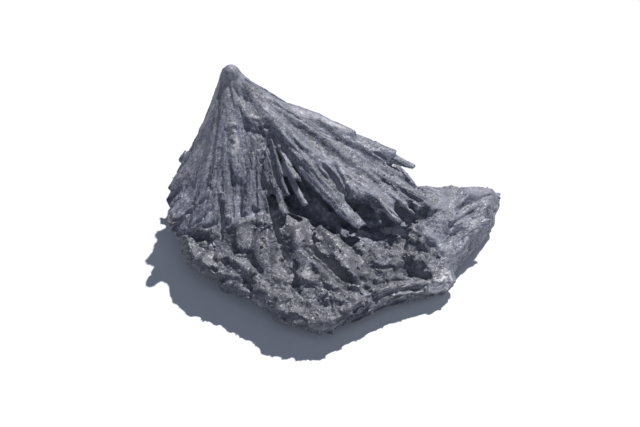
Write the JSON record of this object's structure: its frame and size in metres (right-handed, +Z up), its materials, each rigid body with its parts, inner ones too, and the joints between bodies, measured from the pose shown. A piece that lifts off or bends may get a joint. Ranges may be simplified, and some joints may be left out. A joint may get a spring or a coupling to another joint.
{
  "type": "black kyanite fan",
  "caption": "Free-standing black kyanite specimen: a fan of long flat blades spreading from one peak, with an overhanging wing on a crumbly crystal plate that rests on a small flat.",
  "frame": {"origin": "on the resting flat, under the middle of the stone's bounding box", "axes": "+X runs along the longest extent toward the lobe's tip, +Y points to the back (the steep side under the peak), +Z is up"},
  "size_m": [0.0756, 0.0674, 0.0318],
  "materials": {
    "black_kyanite": "raw bladed crystal, dull silvery sheen with fine sparkle"
  },
  "bodies": {
    "root": {"kyanite_fan": "black_kyanite"}
  },
  "joints": []
}
